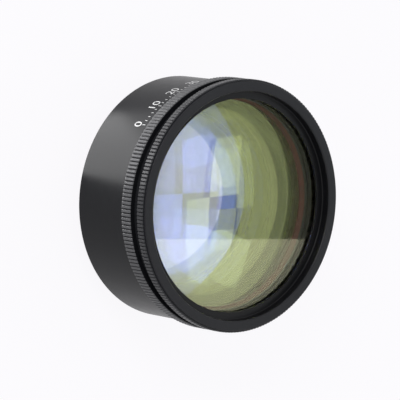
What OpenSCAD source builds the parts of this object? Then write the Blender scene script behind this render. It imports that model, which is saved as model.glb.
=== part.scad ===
// F-theta scan lens: three spherical elements stacked in a stepped barrel from
// the front, a red silicone ring and a threaded ring that clamp them, and a
// screw-on cell that carries the protective window. The origin is the centre of
// the rear end, and +Z runs along the optical axis to the window.

/* [Mount] */
// Major diameter of the M76 mounting thread
mount_thread_d = 76; // [70:0.5:85]
// Width of the shoulder that seats on the scan head
shoulder_w = 5.5; // [5.2:0.1:8]
// Length of the mounting thread
mount_thread_len = 6; // [5:0.25:6.5]
// Depth of the run-out groove under the shoulder
runout_depth = 0.9; // [0.5:0.1:1.2]
// Width of the run-out groove
runout_w = 1.4; // [0.8:0.1:2]
// Radial step from the thread down to the plain pilot behind it
pilot_step = 3.2; // [2:0.1:4]
// Length of the pilot
pilot_len = 4; // [3:0.25:5]
// Thickness of the rear lip that the entrance lens sits on
rear_lip_t = 2; // [1.5:0.25:3]
// Chamfer that leads into the pilot and the thread
lead = 0.6; // [0.3:0.1:1]
// Width of the rear lip under the entrance lens
rear_lip_w = 6.5; // [5.5:0.25:9]

/* [Barrel] */
// Radial wall of the barrel round the front lens
barrel_wall = 4.4; // [3.6:0.1:6]
// Radial wall of the barrel round the cell's thread
mouth_wall = 1.4; // [1:0.1:1.8]
// Height of the smooth barrel above the shoulder
body_h = 26; // [25.8:0.2:30]
// Height of the barrel's knurled band
barrel_band_h = 5; // [4:0.25:6]
// Depth of the cell's thread in the barrel
cell_thread_h = 3; // [2:0.25:3.2]
// Chamfer of the barrel's rear edge
body_chamfer = 0.4; // [0.2:0.1:0.6]

/* [Knurls] */
// Height that the knurled bands stand proud of the barrel
knurl_rise = 1.5; // [1:0.1:3]
// Ridges round the barrel's band
barrel_ridges = 200; // [120:10:200]
// Ridges round the cell's band
cell_ridges = 210; // [120:10:210]
// Depth of the knurl's grooves
knurl_depth = 0.45; // [0.2:0.05:0.6]
// Part of each pitch that the ridge's crest takes
knurl_crest = 0.42; // [0.2:0.02:0.7]
// Bevel at the ends of a knurled band
knurl_bevel = 0.25; // [0.1:0.05:0.4]

/* [Window cell] */
// Height of the plain neck between the two bands
neck_h = 3.6; // [3:0.1:5]
// Width of the ledge that seats the cell on the barrel
cell_ledge = 1; // [0.6:0.1:1.4]
// Radial wall of the cell's threaded skirt
cell_skirt_w = 1.1; // [0.8:0.1:1.4]
// Height of the cell's knurled band
cell_band_h = 3.2; // [2.5:0.1:5]
// Bevel round the cell's front face
face_bevel = 0.8; // [0.4:0.1:1.2]
// Radial step from the window out to the recess in the front face
recess_step = 0.9; // [0.6:0.1:1.8]
// Depth of the recess in front of the lip
recess_depth = 3.4; // [2.5:0.1:4.5]
// Rounding of the recess's mouth
mouth_round = 0.6; // [0.2:0.05:0.8]
// Rounding in the corner of the recess's floor
floor_round = 0.4; // [0.1:0.05:0.6]
// Overlap of the lip on the window
lip_w = 1.85; // [1.7:0.05:3]
// Thickness of the lip
lip_t = 1; // [0.8:0.1:1.5]

/* [Window] */
// Radial step from the ring's thread in to the window
window_step = 1.1; // [0.8:0.1:1.8]
// Thickness of the protective window
window_t = 3; // [2:0.25:3.2]
// Thickness of the window's gasket
gasket_t = 0.3; // [0.2:0.05:0.5]
// Radial width of the window's gasket
gasket_w = 1.5; // [1:0.1:1.7]
// Height of the ring that holds the window
window_ring_h = 1.9; // [1.5:0.1:2.1]

/* [Lens stack] */
// Radial step from each lens down to the next one behind it
lens_step = 5; // [3.5:0.25:6]
// Thickness of the front lens at its edge
front_lens_edge = 6.5; // [5:0.25:7]
// Height of the front lens's convex face
front_crown = 5.4; // [3:0.1:6]
// Width of the flat ground rim on the front lens's face
front_lens_rim = 2.1; // [1.5:0.1:3]
// Thickness of the middle lens at its edge
middle_lens_edge = 5.8; // [4.5:0.1:6.5]
// Height of the middle lens's convex front face
middle_crown = 6.4; // [4:0.1:7]
// Depth of the middle lens's hollow rear face
middle_hollow = 3.3; // [1.5:0.1:4]
// Width of the flat ground rims on the middle lens
middle_rim = 2.6; // [2:0.1:3.5]
// Thickness of the entrance lens at its edge
entrance_lens_edge = 5.5; // [4.5:0.1:6]
// Height of the entrance lens's convex front face
entrance_crown = 1.1; // [0.5:0.1:2.5]
// Depth of the entrance lens's hollow rear face
entrance_hollow = 4.2; // [2:0.1:4.6]
// Width of the flat ground rims on the entrance lens
entrance_rim = 3.4; // [3:0.1:4.6]
// Bevel on the lenses' ground edges
lens_bevel = 0.3; // [0.1:0.05:0.5]

/* [Spacers and rings] */
// Height of the rear spacer between the entrance and middle lenses
rear_spacer_h = 2.9; // [2.5:0.1:4]
// Height of the rear spacer's flange
rear_flange_h = 1; // [0.8:0.1:1.3]
// Height of the rear spacer's straight foot
rear_foot_h = 1; // [0.5:0.1:1.5]
// Height of the front spacer's flange
front_flange_h = 8.3; // [7.5:0.1:9]
// Height of the front spacer's wide mouth above its step
spacer_mouth_h = 4; // [3:0.1:5]
// Radial width of the front spacer's step
spacer_step = 2.2; // [1:0.1:3]
// Height of the silicone ring
seal_h = 2.25; // [1.5:0.05:3]
// Radial width of the silicone ring where it is widest
seal_w = 2; // [1.5:0.1:2.1]
// Slope of the silicone ring's inner edge, from foot to top
seal_slope = 0.95; // [0.4:0.05:1.2]
// Radial wall of the skirt on the ring that clamps the lens stack
clamp_skirt_w = 1.2; // [0.9:0.1:1.5]
// Height of the clamping ring above the silicone ring
clamp_ring_h = 1.6; // [1.4:0.05:1.7]
// Depth of the clamping ring's skirt round the silicone ring
clamp_skirt_h = 1.85; // [1:0.05:1.95]
// Width of the spanner slots in both threaded rings
slot_w = 2.4; // [1.5:0.1:4]
// Depth of the spanner slots
slot_depth = 0.8; // [0.5:0.1:1]
// Direction of the spanner slots
slot_angle = 60; // [0:5:175]

/* [Fits] */
// Radial play of a lens or spacer in its seat
seat_play = 0.1; // [0.05:0.05:0.2]
// Radial play between mating threads
thread_play = 0.1; // [0.05:0.05:0.15]
// Axial gap under a flange that must not bottom
step_gap = 0.3; // [0.2:0.05:0.4]
// Axial gap between the front lens and the window
window_gap = 0.5; // [0.3:0.1:1.5]

/* [Hidden] */
smooth = 240;
fine = 48;
bite = 1;
hair = 0.01;

// levels of the barrel and the window cell, from the rear
seat_z = rear_lip_t;
shoulder_z = pilot_len + mount_thread_len;
band_low = shoulder_z + body_h;
barrel_top = band_low + barrel_band_h;
band_z = barrel_top + neck_h;
band_top = band_z + cell_band_h;
face_z = band_top + face_bevel;
lip_top = face_z - recess_depth;
lip_z = lip_top - lip_t;
window_top = lip_z - gasket_t;
window_z = window_top - window_t;

// levels of the lens stack: the rear lenses from their seat, the front lens from the window
entrance_top = seat_z + entrance_lens_edge;
middle_z = entrance_top + rear_spacer_h;
middle_top = middle_z + middle_lens_edge;
front_top = window_z - window_gap - front_crown;
front_z = front_top - front_lens_edge;
seal_top = front_top + seal_h;
clamp_top = seal_top + clamp_ring_h;

// diameters, from the mounting thread inwards
body_d = mount_thread_d + 2 * shoulder_w;
pilot_d = mount_thread_d - 2 * pilot_step;
knurl_d = body_d + 2 * knurl_rise;
front_lens_d = body_d - 2 * (barrel_wall + seat_play);
middle_lens_d = front_lens_d - 2 * lens_step;
entrance_lens_d = middle_lens_d - 2 * lens_step;
rear_aperture_d = entrance_lens_d - 2 * rear_lip_w;
cell_thread_d = body_d - 2 * (mouth_wall + thread_play);
cell_bore_d = cell_thread_d - 2 * cell_skirt_w;
neck_d = cell_thread_d + 2 * cell_ledge;
window_d = cell_bore_d - 2 * window_step;
clamp_ring_d = front_lens_d + 2 * (seat_play + clamp_skirt_w);

// radii that follow from the fits
recess_r = window_d / 2 + recess_step;
lip_r = window_d / 2 - lip_w;
cell_bore_r = cell_bore_d / 2;
front_seat_r = front_lens_d / 2 + seat_play;
middle_seat_r = middle_lens_d / 2 + seat_play;
entrance_seat_r = entrance_lens_d / 2 + seat_play;
clamp_bore_r = clamp_ring_d / 2 + thread_play;
cell_seat_r = cell_thread_d / 2 + thread_play;
front_clear_r = front_lens_d / 2 - front_lens_rim;
middle_clear_r = middle_lens_d / 2 - middle_rim;
entrance_clear_r = entrance_lens_d / 2 - entrance_rim;
seal_foot_r = front_lens_d / 2 - seal_w;
seal_top_r = seal_foot_r + seal_slope;

// radius of a spherical face that is h high across a clear radius a
function sphere_r(a, h) = (a * a + h * h) / (2 * h);

// a full turn of a profile drawn as radius and height
module turned(points) {
    rotate_extrude($fn = smooth) polygon(points);
}

// plain ring between two radii
module ring(inner_r, outer_r, z, h) {
    turned([[inner_r, z], [outer_r, z], [outer_r, z + h], [inner_r, z + h]]);
}

// disc with its two rims bevelled
module edged_disc(d, z, h, bevel) {
    r = d / 2;
    turned([[0, z], [r - bevel, z], [r, z + bevel], [r, z + h - bevel], [r - bevel, z + h], [0, z + h]]);
}

// spherical dome, h high, that stands on the plane z inside the radius a
module dome(a, h, z) {
    r = sphere_r(a, h);
    intersection() {
        translate([0, 0, z + h - r]) sphere(r, $fn = smooth);
        translate([0, 0, z]) cylinder(r = a + bite, h = 2 * h, $fn = smooth);
    }
}

// straight-knurled band: a star of flat-topped ridges, bevelled at both ends
module knurled_band(z, h, ridges) {
    crest_r = knurl_d / 2;
    root_r = crest_r - knurl_depth;
    pitch = 360 / ridges;
    half_crest = knurl_crest * pitch / 2;
    outline = [for (i = [0 : ridges - 1]) for (p = [[-half_crest, crest_r], [half_crest, crest_r],
                                                    [pitch / 2, root_r]])
               [p[1] * cos(i * pitch + p[0]), p[1] * sin(i * pitch + p[0])]];
    intersection() {
        translate([0, 0, z]) linear_extrude(h) polygon(outline);
        edged_disc(2 * (crest_r + hair), z, h, knurl_bevel);
    }
}

// pair of spanner slots across a ring, cut down from the height z
module spanner_slots(inner_r, outer_r, z) {
    for (side = [0, 180])
        rotate([0, 0, slot_angle + side])
            translate([inner_r - bite, -slot_w / 2, z - slot_depth])
                cube([outer_r - inner_r + 2 * bite, slot_w, slot_depth + bite]);
}

// one-piece barrel: thread, smooth body, knurled band and a bore that steps
// down once for each lens, so the whole stack goes in from the front
module barrel() {
    thread_r = mount_thread_d / 2;
    root_r = thread_r - runout_depth;
    color([0.09, 0.09, 0.1]) difference() {
        union() {
            turned([[0, 0], [pilot_d / 2 - lead, 0], [pilot_d / 2, lead],
                    [pilot_d / 2, pilot_len], [thread_r - lead, pilot_len], [thread_r, pilot_len + lead],
                    [thread_r, shoulder_z - runout_w], [root_r, shoulder_z - runout_w],
                    [root_r, shoulder_z], [body_d / 2 - body_chamfer, shoulder_z],
                    [body_d / 2, shoulder_z + body_chamfer], [body_d / 2, band_low + knurl_bevel],
                    [0, band_low + knurl_bevel]]);
            knurled_band(band_low, barrel_band_h, barrel_ridges);
        }
        bore([[rear_aperture_d / 2, -bite],
              [entrance_seat_r, seat_z],
              [middle_seat_r, middle_z - rear_flange_h - step_gap],
              [front_seat_r, front_z - front_flange_h - step_gap],
              [clamp_bore_r, seal_top - clamp_skirt_h - step_gap],
              [cell_seat_r, barrel_top - cell_thread_h]], barrel_top + bite);
    }
}

// stepped bore: each entry is a radius and the height where it begins
module bore(steps, top) {
    last = len(steps) - 1;
    turned(concat([[0, steps[0][1]]],
                  [for (i = [0 : last]) for (z = [steps[i][1], i < last ? steps[i + 1][1] : top])
                   [steps[i][0], z]],
                  [[0, top]]));
}

// negative lens at the rear: weak convex front, hollow face to the scanner
module entrance_lens() {
    color([0.66, 0.72, 0.95, 0.5]) difference() {
        union() {
            edged_disc(entrance_lens_d, seat_z, entrance_lens_edge, lens_bevel);
            dome(entrance_clear_r, entrance_crown, entrance_top);
        }
        dome(entrance_clear_r, entrance_hollow, seat_z);
    }
}

// stepped ring from the entrance lens's rim out to the middle lens's rim
module rear_spacer() {
    foot_r = entrance_clear_r + seat_play;
    flange_z = middle_z - rear_flange_h;
    color([0.07, 0.07, 0.08])
        turned([[foot_r, entrance_top], [entrance_lens_d / 2 - seat_play, entrance_top],
                [entrance_lens_d / 2 - seat_play, flange_z], [middle_lens_d / 2 - seat_play, flange_z],
                [middle_lens_d / 2 - seat_play, middle_z], [middle_clear_r + seat_play, middle_z],
                [foot_r, entrance_top + rear_foot_h]]);
}

// positive meniscus, hollow towards the scanner
module middle_lens() {
    color([0.5, 0.66, 0.9, 0.5]) difference() {
        union() {
            edged_disc(middle_lens_d, middle_z, middle_lens_edge, lens_bevel);
            dome(middle_clear_r, middle_crown, middle_top);
        }
        dome(middle_clear_r, middle_hollow, middle_z);
    }
}

// conical spacer that widens by a step to the front lens
module front_spacer() {
    foot_r = middle_clear_r + seat_play;
    mouth_r = front_clear_r - seat_play;
    flange_z = front_z - front_flange_h;
    step_z = front_z - spacer_mouth_h;
    color([0.07, 0.07, 0.08])
        turned([[foot_r, middle_top], [middle_lens_d / 2 - seat_play, middle_top],
                [middle_lens_d / 2 - seat_play, flange_z], [front_lens_d / 2 - seat_play, flange_z],
                [front_lens_d / 2 - seat_play, front_z], [mouth_r, front_z],
                [mouth_r, step_z], [mouth_r - spacer_step, step_z]]);
}

// large plano-convex lens at the front
module front_lens() {
    color([0.72, 0.75, 0.45, 0.5]) union() {
        edged_disc(front_lens_d, front_z, front_lens_edge, lens_bevel);
        dome(front_clear_r, front_crown, front_top);
    }
}

// red silicone ring between the front lens and its clamping ring
module lens_seal_ring() {
    color([0.62, 0.1, 0.07])
        turned([[seal_foot_r, front_top], [front_lens_d / 2 - seat_play, front_top],
                [front_lens_d / 2 - seat_play, seal_top], [seal_top_r, seal_top],
                [seal_foot_r, front_top + seal_h / 3]]);
}

// threaded ring over the silicone ring, with its skirt round it
module lens_clamp_ring() {
    outer_r = clamp_ring_d / 2;
    skirt_z = seal_top - clamp_skirt_h;
    color([0.08, 0.08, 0.09]) difference() {
        turned([[lip_r - seat_play, seal_top], [front_seat_r, seal_top], [front_seat_r, skirt_z],
                [outer_r, skirt_z], [outer_r, clamp_top], [lip_r - seat_play, clamp_top]]);
        spanner_slots(lip_r - seat_play, outer_r, clamp_top);
    }
}

// cell that screws into the barrel: skirt, neck, knurled band, recess and lip
module window_cell() {
    skirt_z = barrel_top - cell_thread_h + step_gap;
    face_r = knurl_d / 2 - face_bevel;
    color([0.09, 0.09, 0.1]) difference() {
        union() {
            ring(recess_r - bite, cell_thread_d / 2, skirt_z, band_z - skirt_z);
            ring(recess_r - bite, neck_d / 2, barrel_top, neck_h + knurl_bevel);
            knurled_band(band_z, cell_band_h, cell_ridges);
            turned([[0, band_top - knurl_bevel], [knurl_d / 2 - knurl_bevel - knurl_depth, band_top - knurl_bevel],
                    [knurl_d / 2 - knurl_bevel - knurl_depth, band_top], [face_r, face_z], [0, face_z]]);
        }
        bore([[cell_bore_r, skirt_z - bite],
              [window_d / 2 + seat_play, window_z + seat_play],
              [lip_r, lip_z]], lip_top + bite);
        rotate_extrude($fn = smooth) recess_profile();
    }
}

// half section of the front recess, with a rounded mouth and floor corner
module recess_profile() {
    difference() {
        union() {
            translate([0, lip_top]) square([recess_r, recess_depth + bite]);
            translate([recess_r - bite, face_z - mouth_round]) square([bite + mouth_round, mouth_round + bite]);
        }
        translate([recess_r + mouth_round, face_z - mouth_round]) circle(mouth_round, $fn = fine);
        difference() {
            translate([recess_r - floor_round, lip_top]) square([floor_round + bite, floor_round]);
            translate([recess_r - floor_round, lip_top + floor_round]) circle(floor_round, $fn = fine);
        }
    }
}

// flat gasket between the window and the lip
module window_gasket() {
    color([0.05, 0.05, 0.05])
        ring(window_d / 2 - gasket_w, window_d / 2, window_top, gasket_t);
}

// plane protective window
module protective_window() {
    color([0.8, 0.85, 0.8, 0.35])
        edged_disc(window_d, window_z, window_t, lens_bevel);
}

// threaded ring that holds the window from behind
module window_ring() {
    outer_r = cell_bore_r - thread_play;
    color([0.08, 0.08, 0.09])
        mirror([0, 0, 1]) difference() {
            ring(lip_r, outer_r, -window_z, window_ring_h);
            spanner_slots(lip_r, outer_r, window_ring_h - window_z);
        }
}

barrel();
entrance_lens();
rear_spacer();
middle_lens();
front_spacer();
front_lens();
lens_seal_ring();
lens_clamp_ring();
window_cell();
window_gasket();
protective_window();
window_ring();
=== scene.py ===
from math import asin, atan2, cos, hypot, pi, radians, sin

import bpy
from mathutils import Matrix, Quaternion, Vector


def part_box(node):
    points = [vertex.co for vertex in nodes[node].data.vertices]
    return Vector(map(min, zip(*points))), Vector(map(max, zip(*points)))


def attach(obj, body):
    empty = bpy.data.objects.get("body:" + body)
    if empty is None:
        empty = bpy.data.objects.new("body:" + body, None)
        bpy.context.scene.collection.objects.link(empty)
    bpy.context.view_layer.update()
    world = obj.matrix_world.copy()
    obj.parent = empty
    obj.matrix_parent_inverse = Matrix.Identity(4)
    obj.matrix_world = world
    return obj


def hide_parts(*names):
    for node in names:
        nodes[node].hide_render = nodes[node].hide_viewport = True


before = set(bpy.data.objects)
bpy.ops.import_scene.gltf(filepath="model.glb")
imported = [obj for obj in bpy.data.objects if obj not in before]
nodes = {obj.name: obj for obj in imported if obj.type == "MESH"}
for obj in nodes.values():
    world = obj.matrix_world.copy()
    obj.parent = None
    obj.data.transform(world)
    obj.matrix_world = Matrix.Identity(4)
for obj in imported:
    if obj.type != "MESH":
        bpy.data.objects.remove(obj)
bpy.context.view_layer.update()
mm = 0.001
print("frame loaded:", len(nodes), "nodes")


# camera: the lens stands on its rear end, and the view is rolled on its side

view = {
    "focal": 311.05,        # mm
    "sensor": 36,           # mm
    "elevation": 49.636,    # degrees above the floor
    "roll": 98.586,         # degrees
    "distance": 1.2370,     # m
    "aim": (0.0, 0.0, 0.0249),
    "nearest": 0.01,        # m
    "farthest": 20,         # m
}


def makeCamera():
    elevation = radians(view["elevation"])
    roll = radians(view["roll"])
    back = Vector((0, -cos(elevation), sin(elevation)))
    across = Vector((1, 0, 0))
    up = back.cross(across)
    rolledUp = up * cos(roll) - across * sin(roll)
    rolledAcross = across * cos(roll) + up * sin(roll)
    camera = bpy.data.objects.new("camera", bpy.data.cameras.new("camera"))
    camera.data.lens = view["focal"]
    camera.data.sensor_width = view["sensor"]
    camera.data.clip_start = view["nearest"]
    camera.data.clip_end = view["farthest"]
    place = Matrix((rolledAcross, rolledUp, back)).transposed().to_4x4()
    place.translation = Vector(view["aim"]) + back * view["distance"]
    camera.matrix_world = place
    bpy.context.scene.collection.objects.link(camera)
    bpy.context.scene.camera = camera


makeCamera()
bpy.context.scene.view_settings.view_transform = "Standard"


# shader writing

class Flow:                                  # a socket that can be added, multiplied and compared
    def __init__(self, tree, socket):
        self.tree = tree
        self.socket = socket

    def calc(self, operation, *values):
        return addNode(self.tree, "ShaderNodeMath", {"operation": operation},
                       dict(enumerate(values)))

    def __add__(self, other):
        return self.calc("ADD", self, other)

    def __sub__(self, other):
        return self.calc("SUBTRACT", self, other)

    def __rsub__(self, other):
        return self.calc("SUBTRACT", other, self)

    def __mul__(self, other):
        return self.calc("MULTIPLY", self, other)

    def __gt__(self, other):
        return self.calc("GREATER_THAN", self, other)

    def __lt__(self, other):
        return self.calc("LESS_THAN", self, other)

    def larger(self, other):
        return self.calc("MAXIMUM", self, other)

    def root(self):
        return self.calc("SQRT", self)

    __radd__ = __add__
    __rmul__ = __mul__


def addNode(tree, kind, settings=None, values=None, output=0):
    node = tree.nodes.new(kind)
    for key, value in (settings or {}).items():
        setattr(node, key, value)
    for key, value in (values or {}).items():
        if isinstance(value, Flow):
            tree.links.new(value.socket, node.inputs[key])
        else:
            node.inputs[key].default_value = value
    return Flow(tree, node.outputs[output]) if node.outputs else None


def newFinish(name):
    material = bpy.data.materials.new(name)
    material.use_nodes = True
    material.node_tree.nodes.clear()
    return material, material.node_tree


def closeFinish(tree, shader):
    addNode(tree, "ShaderNodeOutputMaterial", values={"Surface": shader})


def objectPlace(tree):                       # place on the piece, radius from the axis, height
    place = addNode(tree, "ShaderNodeTexCoord", output="Object")
    split = addNode(tree, "ShaderNodeSeparateXYZ", values={"Vector": place}).socket.node
    x, y, height = (Flow(tree, split.outputs[part]) for part in range(3))
    return place, (x * x + y * y).root(), height


def blendColours(tree, factor, first, second):
    return addNode(tree, "ShaderNodeMix", {"data_type": "RGBA"},
                   {0: factor, 6: first, 7: second}, output=2)


def grain(tree, vector, scale, detail):
    return addNode(tree, "ShaderNodeTexNoise",
                   values={"Vector": vector, "Scale": scale, "Detail": detail})


def bumpOf(tree, height, depth):             # depth in m
    return addNode(tree, "ShaderNodeBump",
                   values={"Strength": 1.0, "Distance": depth, "Height": height})


# finishes

crestHighlightAndWear = (0.18, 0.18, 0.19, 1)          # knurl crests lightened: a painted highlight, with some wear
paintedBoreShade = (0.002, 0.002, 0.0025, 1)       # painted shade in bores that light hardly reaches
paintedBoreShadeShare = 0.75
lineDetail = 2.0
mottleDetail = 4.0


def anodisedFinish(name, look):
    material, tree = newFinish(name)
    place, radius, height = objectPlace(tree)
    lathe = addNode(tree, "ShaderNodeCombineXYZ", values={"X": radius, "Y": height})
    lines = grain(tree, lathe, look["lineScale"], lineDetail)
    mottle = grain(tree, place, look["mottleScale"], mottleDetail)
    colour = blendColours(tree, mottle, look["dark"], look["light"])
    if "crestRadius" in look:
        # painted highlight on the knurl crests, with some wear, past the crest radius
        crest = (radius > look["crestRadius"] * mm) * look["crestHighlightShare"]
        colour = blendColours(tree, crest, colour, crestHighlightAndWear)
    # painted shade on everything inside the given radius, which covers the bores
    if "paintedShadeRadius" in look:
        well = (radius < look["paintedShadeRadius"] * mm) * paintedBoreShadeShare
        colour = blendColours(tree, well, colour, paintedBoreShade)
    shader = addNode(tree, "ShaderNodeBsdfPrincipled", values={
        "Base Color": colour,
        "Roughness": (mottle - 0.5) * look["roughSwing"] + look["rough"],
        "Specular IOR Level": look["specular"],
        "Normal": bumpOf(tree, lines, look["lineDepth"]),
    })
    closeFinish(tree, shader)
    return material


# barrel: painted highlight on its knurl crests, with some wear, and painted shade inside the bores
# and on the outside of the rear spigot
blackAnodised = anodisedFinish("black_anodised", {
    "dark": (0.0065, 0.007, 0.0085, 1),
    "light": (0.0100, 0.0105, 0.0125, 1),
    "rough": 0.32,
    "roughSwing": 0.10,
    "specular": 0.12,
    "lineScale": 7000.0,
    "mottleScale": 420.0,
    "lineDepth": 0.000004,
    "crestRadius": 44.7, "crestHighlightShare": 0.6, "paintedShadeRadius": 42.2,
})

# a lighter copy of the black anodised finish for the window cell: its face is painted lighter for
# the light that falls on it, its recess gets painted shade and its crests a weaker painted
# highlight
lighterCellAnodised = anodisedFinish("cell_anodised_painted_lighter", {
    "dark": (0.016, 0.0165, 0.0195, 1),
    "light": (0.022, 0.0225, 0.026, 1),
    "rough": 0.30,
    "roughSwing": 0.10,
    "specular": 0.16,
    "lineScale": 7000.0,
    "mottleScale": 420.0,
    "lineDepth": 0.000004,
    "crestRadius": 44.7, "crestHighlightShare": 0.2, "paintedShadeRadius": 40.75,
})

mattBlack = anodisedFinish("matt_black", {
    "dark": (0.016, 0.016, 0.018, 1),
    "light": (0.026, 0.026, 0.028, 1),
    "rough": 0.5,
    "roughSwing": 0.10,
    "specular": 0.3,
    "lineScale": 5000.0,
    "mottleScale": 420.0,
    "lineDepth": 0.000006,
})


glassLook = {
    "speckleScale": 900.0, "speckleDetail": 3.0,
    "groundRough": 0.45, "polish": 0.004, "coatRough": 0.005,
    "scatterRough": 0.55, "scatterSwing": 0.1,
    "edgeColour": (0.02, 0.02, 0.02, 1),
}


def glassFinish(name, look):
    # ground glass outside the clear radius, blackened outside the edge, and a coat that mirrors;
    # where split is given, the face above it has the upper coat
    material, tree = newFinish(name)
    place, radius, height = objectPlace(tree)
    ground = radius > look["clear"] * mm
    edge = radius > look["edge"] * mm
    speckle = grain(tree, place, glassLook["speckleScale"], glassLook["speckleDetail"])
    rim = blendColours(tree, speckle, look["rimDark"], look["rimLight"])
    tint = blendColours(tree, ground, look["tint"], rim)
    glass = addNode(tree, "ShaderNodeBsdfPrincipled", values={
        "Base Color": blendColours(tree, edge, tint, glassLook["edgeColour"]),
        "Roughness": ground * glassLook["groundRough"] + speckle * glassLook["polish"],
        "IOR": look["ior"],
        "Transmission Weight": 1.0,
        "Specular Tint": look["specularTint"],
    })
    coatColour, share = look["coat"], look["coatShare"]
    if "split" in look:
        upper = height > look["split"] * mm
        coatColour = blendColours(tree, upper, look["coat"], look["upperCoat"])
        share = upper * (look["upperShare"] - look["coatShare"]) + look["coatShare"]
    coat = addNode(tree, "ShaderNodeBsdfPrincipled", values={
        "Base Color": coatColour,
        "Roughness": speckle * glassLook["polish"] + glassLook["coatRough"],
        "Metallic": 1.0,
    })
    shown = addNode(tree, "ShaderNodeMixShader",
                    values={0: (1 - ground) * share, 1: glass, 2: coat})
    if "scatterFrom" in look:                # the upper coat scatters a little towards its rim
        rise = addNode(tree, "ShaderNodeMapRange", {"interpolation_type": "SMOOTHSTEP"},
                       {"Value": radius, "From Min": look["scatterFrom"] * mm,
                        "From Max": look["scatterFull"] * mm})
        scatter = addNode(tree, "ShaderNodeBsdfPrincipled", values={
            "Base Color": blendColours(tree, speckle, look["upperCoat"], look["coat"]),
            "Roughness": speckle * glassLook["scatterSwing"] + glassLook["scatterRough"],
            "Metallic": 1.0,
        })
        scattered = rise * upper * (1 - edge) * look["scatterShare"]
        shown = addNode(tree, "ShaderNodeMixShader", values={0: scattered, 1: shown, 2: scatter})
    closeFinish(tree, shown)
    return material


frontGlass = glassFinish("front_glass", {
    "clear": 36.9, "edge": 38.75, "ior": 1.60,
    "specularTint": (0.9, 0.95, 0.4, 1),
    "tint": (0.93, 0.92, 1.0, 1),
    "coat": (0.86, 1.0, 0.36, 1), "coatShare": 0.15,
    "split": 34.0, "upperCoat": (0.85, 0.95, 0.35, 1), "upperShare": 0.035,
    "scatterFrom": 28.0, "scatterFull": 31.0, "scatterShare": 0.18,
    "rimDark": (0.55, 0.56, 0.45, 1), "rimLight": (0.7, 0.7, 0.58, 1),
})

middleGlass = glassFinish("middle_glass", {
    "clear": 31.4, "edge": 33.75, "ior": 1.72,
    "specularTint": (0.4, 0.7, 1.0, 1),
    "tint": (0.97, 0.98, 0.98, 1),
    "coat": (0.28, 0.40, 1.0, 1), "coatShare": 0.36,
    "split": 15.0, "upperCoat": (0.24, 0.46, 1.0, 1), "upperShare": 0.05,
    "rimDark": (0.1, 0.1, 0.08, 1), "rimLight": (0.14, 0.14, 0.11, 1),
})

entranceGlass = glassFinish("entrance_glass", {
    "clear": 24.6, "edge": 28.75, "ior": 1.60,
    "specularTint": (0.7, 0.6, 1.0, 1),
    "tint": (0.98, 0.98, 0.99, 1),
    "coat": (0.8, 0.85, 0.5, 1), "coatShare": 0.05,
    "split": 6.9, "upperCoat": (0.58, 0.56, 1.0, 1), "upperShare": 0.34,
    "rimDark": (0.7, 0.7, 0.55, 1), "rimLight": (0.85, 0.85, 0.7, 1),
})

windowGlass = glassFinish("window_glass", {
    "clear": 37.95, "edge": 39.55, "ior": 1.46,
    "specularTint": (1.0, 1.0, 0.7, 1),
    "tint": (0.985, 0.99, 0.985, 1),
    "coat": (0.9, 0.9, 0.6, 1), "coatShare": 0.005,
    "rimDark": (0.05, 0.05, 0.05, 1), "rimLight": (0.06, 0.06, 0.06, 1),
})


def softFinish(name, look):
    material, tree = newFinish(name)
    place, radius, height = objectPlace(tree)
    mottle = grain(tree, place, look["scale"], mottleDetail)
    shader = addNode(tree, "ShaderNodeBsdfPrincipled", values={
        "Base Color": blendColours(tree, mottle, look["dark"], look["light"]),
        "Roughness": mottle * look["roughSwing"] + look["rough"],
        "Specular IOR Level": look["specular"],
        "Normal": bumpOf(tree, mottle, look["depth"]),
    })
    closeFinish(tree, shader)
    return material


redSilicone = softFinish("red_silicone", {
    "dark": (0.068, 0.011, 0.009, 1), "light": (0.10, 0.017, 0.013, 1),
    "rough": 0.5, "roughSwing": 0.1, "specular": 0.3, "scale": 700.0, "depth": 0.00001,
})
blackRubber = softFinish("black_rubber", {
    "dark": (0.012, 0.012, 0.012, 1), "light": (0.022, 0.022, 0.022, 1),
    "rough": 0.6, "roughSwing": 0.1, "specular": 0.3, "scale": 900.0, "depth": 0.00001,
})
whiteMarking = softFinish("white_marking", {
    "dark": (0.62, 0.62, 0.64, 1), "light": (0.8, 0.8, 0.8, 1),
    "rough": 0.5, "roughSwing": 0.1, "specular": 0.3, "scale": 2500.0, "depth": 0.000004,
})


# turning: a profile in mm is drawn point by point and spun round the optical axis

weldGap = 0.0008 * mm
sliverGap = 0.0005 * mm
smoothBelow = 7.5                            # degrees between faces


def deselectAll():
    if bpy.context.object and bpy.context.object.mode != "OBJECT":
        bpy.ops.object.mode_set(mode="OBJECT")
    bpy.ops.object.select_all(action="DESELECT")


def drawProfile(name, profile):
    deselectAll()
    radius, height = profile[0]
    bpy.ops.mesh.primitive_plane_add(size=mm, location=(radius * mm, 0, height * mm))
    bpy.ops.object.transform_apply(location=True, rotation=False, scale=False)
    piece = bpy.context.object
    piece.name = name
    piece.data.name = name
    bpy.ops.object.mode_set(mode="EDIT")
    bpy.ops.mesh.select_all(action="SELECT")
    bpy.ops.mesh.merge(type="CENTER")
    for before, after in zip(profile, profile[1:]):
        step = ((after[0] - before[0]) * mm, 0, (after[1] - before[1]) * mm)
        bpy.ops.mesh.extrude_vertices_move(TRANSFORM_OT_translate={"value": step})
    bpy.ops.mesh.select_all(action="SELECT")
    return piece


def spin(steps, angle, copies=False):
    bpy.ops.mesh.spin(steps=steps, angle=angle, dupli=copies, center=(0, 0, 0), axis=(0, 0, 1))


def closeShell(piece):
    bpy.ops.mesh.select_all(action="SELECT")
    bpy.ops.mesh.remove_doubles(threshold=weldGap)
    bpy.ops.mesh.dissolve_degenerate(threshold=sliverGap)
    bpy.ops.mesh.select_all(action="SELECT")
    bpy.ops.mesh.normals_make_consistent(inside=False)
    bpy.ops.object.mode_set(mode="OBJECT")
    bpy.ops.object.shade_smooth_by_angle(angle=radians(smoothBelow))


def turnPiece(name, profile, steps=256):
    piece = drawProfile(name, profile)
    spin(steps, 2 * pi)
    closeShell(piece)
    return piece


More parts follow.
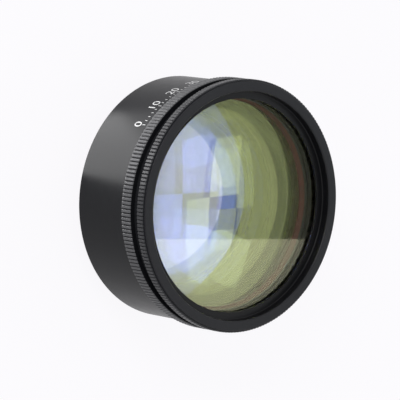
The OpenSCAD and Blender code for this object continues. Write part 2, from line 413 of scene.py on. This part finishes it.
def turnKnurled(name, profile, look):
    # one pitch is drawn with its ridge and copied round; only its crest keeps the full radius
    piece = drawProfile(name, profile)
    ridges = look["ridges"]
    root = look["rootRadius"] * mm
    pitch = 2 * pi / ridges
    flank = (1 - look["crestPart"]) / 2
    for part in (flank, look["crestPart"], flank):
        spin(1, part * pitch)
    bpy.ops.object.mode_set(mode="OBJECT")
    for point in piece.data.vertices:
        turned = abs(atan2(point.co.y, point.co.x)) / pitch
        radius = hypot(point.co.x, point.co.y)
        inGroove = min(turned, abs(1 - turned)) < flank / 2
        if inGroove and radius > root:
            point.co.x *= root / radius
            point.co.y *= root / radius
    bpy.ops.object.mode_set(mode="EDIT")
    bpy.ops.mesh.select_all(action="SELECT")
    spin(ridges - 1, (ridges - 1) * pitch, copies=True)
    closeShell(piece)
    return piece


def rounding(centre, radius, first, last, steps=14):
    # points of an arc in the profile, angles in degrees from the outward direction
    turns = [radians(first + (last - first) * step / steps) for step in range(steps + 1)]
    return [(centre[0] + radius * cos(turn), centre[1] + radius * sin(turn)) for turn in turns]


def sphereFace(clear, level, rise, steps=44):
    # points of a spherical face from the axis out to the clear radius; rise is at the axis
    ball = (clear * clear + rise * rise) / (2 * abs(rise))
    side = 1 if rise > 0 else -1
    widest = asin(clear / ball)
    spots = [widest * step / steps for step in range(steps + 1)]
    return [(ball * sin(spot), level + rise - side * ball * (1 - cos(spot))) for spot in spots]


def dress(piece, finish, slot, *replaced):
    piece.data.materials.clear()
    piece.data.materials.append(finish)
    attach(piece, "root")
    if replaced:
        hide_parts(*replaced)


def levels(node):                            # lowest and highest level of a node, mm
    low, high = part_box(node)
    return low[2] / mm, high[2] / mm


# barrel

barrelLook = {
    "pilotRadius": 34.8, "pilotTop": 4.0, "lead": 0.6,
    "threadRadius": 38.0, "threadDepth": 0.61, "threadPitch": 1.0,
    "threadRows": 10, "threadEnd": 0.01,
    "runoutRadius": 37.1, "runoutLow": 8.6, "shoulder": 10.0,
    "bodyRadius": 43.5, "bodyChamfer": 0.4,
    "bandLow": 36.0, "bandRadius": 45.0, "bandBevel": 0.25,
    "ridges": 200, "crestPart": 0.42, "rootRadius": 44.55,
    "apertureRadius": 22.5,
    "bores": (              # radius and floor, from the mouth down
        (42.1, 38.0), (40.4, 35.1), (39.1, 19.9), (34.1, 9.1), (29.1, 2.0),
    ),
}


def threadRows(look):                        # plain rows that cutThread moves into a helix
    low = look["pilotTop"] + look["lead"]
    count = round((look["runoutLow"] - low) / look["threadPitch"] * look["threadRows"])
    rise = (look["runoutLow"] - low) / count
    return [(look["threadRadius"], low + rise * row) for row in range(count + 1)]


def barrelProfile(look):
    top = levels("barrel")[1]
    pilot, lead, thread = look["pilotRadius"], look["lead"], look["threadRadius"]
    body, chamfer, shoulder = look["bodyRadius"], look["bodyChamfer"], look["shoulder"]
    low, band, bevel = look["bandLow"], look["bandRadius"], look["bandBevel"]
    points = [(look["apertureRadius"], 0), (pilot - lead, 0), (pilot, lead),
              (pilot, look["pilotTop"]), (thread - lead, look["pilotTop"])]
    points += threadRows(look)
    points += [(look["runoutRadius"], look["runoutLow"]), (look["runoutRadius"], shoulder),
               (body - chamfer, shoulder), (body, shoulder + chamfer), (body, low),
               (look["rootRadius"], low), (band - bevel, low), (band, low + bevel),
               (band, top - bevel), (band - bevel, top), (look["rootRadius"], top)]
    for radius, floor in look["bores"]:
        points += [(radius, top), (radius, floor)]
        top = floor
    points += [(look["apertureRadius"], top), (look["apertureRadius"], 0)]
    return points


def cutThread(piece, look):
    low = look["pilotTop"] + look["lead"] / 2
    high = look["runoutLow"] - look["threadEnd"]
    for point in piece.data.vertices:
        radius = hypot(point.co.x, point.co.y) / mm
        height = point.co.z / mm
        if low < height < high and radius > look["runoutRadius"]:
            turn = height / look["threadPitch"] - atan2(point.co.y, point.co.x) / (2 * pi)
            depth = look["threadDepth"] * (1 - abs(2 * (turn % 1) - 1))
            fade = min(1, min(height - low, high - height) / look["threadPitch"])
            point.co.x *= 1 - depth * fade / radius
            point.co.y *= 1 - depth * fade / radius


barrel = turnKnurled("barrel_turned", barrelProfile(barrelLook), barrelLook)
cutThread(barrel, barrelLook)
dress(barrel, blackAnodised, "black_anodised", "barrel")
print("barrel turned:", len(barrel.data.polygons), "faces")


# window cell

cellLook = {
    "skirtRadius": 42.0, "neckRadius": 43.0, "bandLow": 44.6, "bandTop": 47.8,
    "bandRadius": 45.0, "bandBevel": 0.25, "ridges": 210, "crestPart": 0.56, "rootRadius": 44.55,
    "faceRadius": 44.2, "faceRound": 0.15, "faceStep": 0.1,
    "recessRadius": 40.7, "mouthRound": 0.6, "recessFloor": 45.2, "floorRound": 0.4,
    "lipRadius": 37.95, "lipRound": 0.15, "lipLow": 44.2, "seatRadius": 39.9, "seatLow": 40.8,
    "boreRadius": 40.9,
}


def cellProfile(look):
    skirtLow, face = levels("window_cell")
    neckLow = levels("barrel")[1]
    low, top, band, bevel = look["bandLow"], look["bandTop"], look["bandRadius"], look["bandBevel"]
    recess, mouth, floor = look["recessRadius"], look["mouthRound"], look["recessFloor"]
    corner, lip, lipRound = look["floorRound"], look["lipRadius"], look["lipRound"]
    bead = look["faceRound"]
    points = [(look["boreRadius"], skirtLow), (look["skirtRadius"], skirtLow),
              (look["skirtRadius"], neckLow), (look["neckRadius"], neckLow),
              (look["neckRadius"], low), (look["rootRadius"], low),
              (band - bevel, low), (band, low + bevel), (band, top - bevel), (band - bevel, top),
              (look["faceRadius"] + look["faceStep"], top)]
    points += rounding((look["faceRadius"] - bead, face - bead), bead, 0, 90, steps=4)
    points += rounding((recess + mouth, face - mouth), mouth, 90, 180)
    points += rounding((recess - corner, floor + corner), corner, 0, -90)
    points += rounding((lip + lipRound, floor - lipRound), lipRound, 90, 180, steps=4)
    points += [(lip, look["lipLow"]), (look["seatRadius"], look["lipLow"]),
               (look["seatRadius"], look["seatLow"]), (look["boreRadius"], look["seatLow"]),
               (look["boreRadius"], skirtLow)]
    return points


cell = turnKnurled("window_cell_turned", cellProfile(cellLook), cellLook)
dress(cell, lighterCellAnodised, "black_anodised", "window_cell")
print("window cell turned:", len(cell.data.polygons), "faces")


# glass

lensBevel = 0.3
lensLooks = {                                # radii, rise of the front face, hollow of the rear
    "front_lens": {
        "outer": 39.0, "clear": 36.9, "rise": 5.4, "hollow": 0,
        "finish": frontGlass, "slot": "front_glass",
    },
    "middle_lens": {
        "outer": 34.0, "clear": 31.4, "rise": 6.4, "hollow": 3.3,
        "finish": middleGlass, "slot": "middle_glass",
    },
    "entrance_lens": {
        "outer": 29.0, "clear": 25.6, "rise": 1.1, "hollow": 4.2,
        "finish": entranceGlass, "slot": "entrance_glass",
    },
    "protective_window": {
        "outer": 39.8, "clear": 38.0, "rise": 0, "hollow": 0,
        "finish": windowGlass, "slot": "window_glass",
    },
}


def lensProfile(node, look):
    outer, clear, rise, hollow = look["outer"], look["clear"], look["rise"], look["hollow"]
    low, high = levels(node)
    rim = high - rise
    points = sphereFace(clear, low, hollow) if hollow else [(0, low)]
    points += [(outer - lensBevel, low), (outer, low + lensBevel), (outer, rim - lensBevel),
               (outer - lensBevel, rim)]
    points += reversed(sphereFace(clear, rim, rise)) if rise else [(0, rim)]
    return points


for node, look in lensLooks.items():
    glass = turnPiece(node + "_polished", lensProfile(node, look))
    dress(glass, look["finish"], look["slot"], node)
    print(node, "polished:", len(glass.data.polygons), "faces")


# index marks on the barrel: ticks with plain numbers

markLook = {
    "radius": 43.5, "raise": 0.01, "thickness": 0.03,
    "first": -122.0, "turn": -2.5, "count": 21, "numbered": 5, "step": 10,
    "tickLow": 31.5, "tickLong": 1.7, "tickShort": 1.1, "tickWidth": 0.26,
    "numberFoot": 30.9, "fontSize": 5.04, "curveSteps": 4, "weld": 0.001,
}


def wrapMark(piece, look, middle):           # a flat mark in mm is laid round the barrel
    for point in piece.data.vertices:
        turn = radians(middle) - point.co.x / look["radius"]
        radius = (look["radius"] + look["raise"] + point.co.z) * mm
        point.co = (radius * cos(turn), radius * sin(turn), -point.co.y * mm)


def makeTick(look, length):
    deselectAll()
    bpy.ops.mesh.primitive_cube_add(size=1)
    tick = bpy.context.object
    bpy.ops.object.mode_set(mode="EDIT")
    bpy.ops.transform.resize(value=(look["tickWidth"], length, look["thickness"]))
    bpy.ops.transform.translate(value=(0, -look["tickLow"] - length / 2, look["thickness"] / 2))
    bpy.ops.object.mode_set(mode="OBJECT")
    return tick


def makeNumber(look, value):
    deselectAll()
    bpy.ops.object.text_add()
    number = bpy.context.object
    number.data.body = str(value)
    number.data.align_x = "CENTER"
    number.data.size = look["fontSize"]
    number.data.extrude = look["thickness"] / 2
    number.data.resolution_u = look["curveSteps"]
    bpy.ops.object.convert(target="MESH")
    number = bpy.context.object
    bpy.ops.object.mode_set(mode="EDIT")
    bpy.ops.mesh.select_all(action="SELECT")
    bpy.ops.mesh.remove_doubles(threshold=look["weld"])
    bpy.ops.transform.translate(value=(0, -look["numberFoot"], look["thickness"] / 2))
    bpy.ops.object.mode_set(mode="OBJECT")
    return number


def copyMark(mark):
    copied = mark.copy()
    copied.data = mark.data.copy()
    bpy.context.collection.objects.link(copied)
    return copied


def makeMarks(look):
    longTick = makeTick(look, look["tickLong"])
    shortTick = makeTick(look, look["tickShort"])
    marks = []
    for place in range(look["count"]):
        middle = look["first"] + place * look["turn"]
        numbered = place % look["numbered"] == 0
        marks.append(copyMark(longTick if numbered else shortTick))
        wrapMark(marks[-1], look, middle)
        if numbered:
            marks.append(makeNumber(look, place // look["numbered"] * look["step"]))
            wrapMark(marks[-1], look, middle)
    for tick in (longTick, shortTick):
        bpy.data.objects.remove(tick)
    deselectAll()
    for mark in marks:
        mark.select_set(True)
    bpy.context.view_layer.objects.active = marks[0]
    bpy.ops.object.join()
    piece = bpy.context.object
    piece.name = "index_marks"
    piece.data.name = "index_marks"
    return piece


marks = makeMarks(markLook)
dress(marks, whiteMarking, "white_marking")
print("index marks:", len(marks.data.polygons), "faces")


# rings and spacers keep their solids and take a finish

for node, finish in (("rear_spacer", mattBlack), ("front_spacer", mattBlack),
                     ("lens_clamp_ring", mattBlack), ("window_ring", mattBlack),
                     ("lens_seal_ring", redSilicone), ("window_gasket", blackRubber)):
    for place in nodes[node].material_slots:
        place.material = finish


# studio

def cardFinish(name, colour, strength):
    material, tree = newFinish(name)
    closeFinish(tree, addNode(tree, "ShaderNodeEmission",
                              values={"Color": colour, "Strength": strength}))
    return material


def seesBackground(tree):                    # 1 if seen straight, mirrored or through glass
    path = addNode(tree, "ShaderNodeLightPath").socket.node
    camera, glossy, through = (Flow(tree, path.outputs[name]) for name in
                               ("Is Camera Ray", "Is Glossy Ray", "Is Transmission Ray"))
    return camera.larger(glossy).larger(through)


floorLook = {
    "size": 8, "drop": 0.02 * mm, "colour": (0.8, 0.8, 0.8, 1),
    "glow": (0.985, 0.975, 1, 1), "strength": 1.035, "glowShare": 0.9,
}


def makeFloor(look):                         # shown from above only
    deselectAll()
    bpy.ops.mesh.primitive_plane_add(size=look["size"], location=(0, 0, -look["drop"]))
    floor = bpy.context.object
    floor.name = "floor"
    material, tree = newFinish("pale_floor")
    lit = addNode(tree, "ShaderNodeBsdfDiffuse", values={"Color": look["colour"]})
    glow = addNode(tree, "ShaderNodeEmission",
                   values={"Color": look["glow"], "Strength": look["strength"]})
    top = addNode(tree, "ShaderNodeMixShader",
                  values={0: seesBackground(tree) * look["glowShare"], 1: lit, 2: glow})
    geometry = addNode(tree, "ShaderNodeNewGeometry").socket.node
    below = Flow(tree, geometry.outputs["Backfacing"])
    clear = addNode(tree, "ShaderNodeBsdfTransparent")
    closeFinish(tree, addNode(tree, "ShaderNodeMixShader", values={0: below, 1: top, 2: clear}))
    floor.data.materials.append(material)


worldLook = {"seen": 1.0, "light": 0.5}


def makeWorld(look):
    world = bpy.data.worlds.new("studio")
    bpy.context.scene.world = world
    world.use_nodes = True
    tree = world.node_tree
    tree.nodes.clear()
    strength = seesBackground(tree) * (look["seen"] - look["light"]) + look["light"]
    sky = addNode(tree, "ShaderNodeBackground",
                  values={"Color": (1, 1, 1, 1), "Strength": strength})
    addNode(tree, "ShaderNodeOutputWorld", values={"Surface": sky})


panelPlane = {                               # where the flat glass mirrors the studio to the camera
    "elevation": 50.3, "distance": 1.2, "roll": -8.6, "height": 0.04,
}


def makePanel(name, look):                   # sides in m on the common plane, tilt in degrees
    deselectAll()
    bpy.ops.mesh.primitive_plane_add(size=1)
    panel = bpy.context.object
    panel.name = name
    lowX, highX, lowY, highY = look["sides"]
    rise = radians(panelPlane["elevation"])
    away = Vector((0, cos(rise), sin(rise)))
    turn = (-away).to_track_quat("Z", "Y") @ Quaternion((0, 0, 1), radians(panelPlane["roll"]))
    middle = turn @ Vector(((lowX + highX) / 2, (lowY + highY) / 2, 0))
    middle += away * (panelPlane["distance"] + look["behind"])
    panel.scale = (highX - lowX, highY - lowY, 1)
    panel.rotation_euler = (turn @ Quaternion((0, 0, 1), radians(look["tilt"]))).to_euler()
    panel.location = middle + Vector((0, 0, panelPlane["height"]))
    panel.data.materials.append(look["finish"])
    panel.visible_camera = False


def makeLamp(name, look):
    lamp = bpy.data.lights.new(name, "AREA")
    lamp.shape = "RECTANGLE"
    lamp.size, lamp.size_y = look["size"]
    lamp.energy = look["power"]
    lamp.spread = radians(look["spread"])
    holder = bpy.data.objects.new(name, lamp)
    place = Vector(look["place"])
    holder.location = place
    holder.rotation_euler = (Vector(look["aim"]) - place).to_track_quat("-Z", "Y").to_euler()
    holder.visible_camera = False
    bpy.context.scene.collection.objects.link(holder)


darkPanel = cardFinish("dark_panel", (0.30, 0.32, 0.30, 1), 1.0)
brightPanel = cardFinish("bright_panel", (1, 1, 0.98, 1), 2.0)
softPanel = cardFinish("soft_panel", (0.90, 0.94, 1, 1), 2.1)
panelLooks = {
    "panel_dark": {
        "sides": (-0.10, 0.0274, -0.08, 0.095), "finish": darkPanel, "tilt": 0, "behind": 0,
    },
    "panel_dark_low": {
        "sides": (0.0274, 0.27, -0.125, -0.081), "finish": darkPanel, "tilt": 0, "behind": 0,
    },
    "panel_bright": {
        "sides": (0.0274, 0.27, -0.081, 0.095), "finish": brightPanel, "tilt": 0, "behind": 0,
    },
    "panel_soft": {
        "sides": (-0.34, 0.0274, -0.25, -0.08), "finish": softPanel, "tilt": 0, "behind": 0,
    },
    "panel_side": {
        "sides": (-0.34, -0.112, -0.09, 0.160), "finish": softPanel, "tilt": 20, "behind": 0.01,
    },
}
lampLooks = {                                # the strips lie at the foot and light the side
    "key": {
        "place": (-0.5, -0.9, 0.9), "aim": (0, 0, 0.02), "size": (0.5, 0.5),
        "power": 6, "spread": 180,
    },
    "foot_strip": {
        "place": (-0.022, -0.067, 0.0005), "aim": (-0.022, -0.067, 1), "size": (0.036, 0.060),
        "power": 0.028, "spread": 130,
    },
    "foot_strip_far": {
        "place": (-0.058, -0.067, 0.0005), "aim": (-0.058, -0.067, 1), "size": (0.036, 0.060),
        "power": 0.011, "spread": 130,
    },
}
makeFloor(floorLook)
makeWorld(worldLook)
for name, look in panelLooks.items():
    makePanel(name, look)
for name, look in lampLooks.items():
    makeLamp(name, look)
print("studio set")
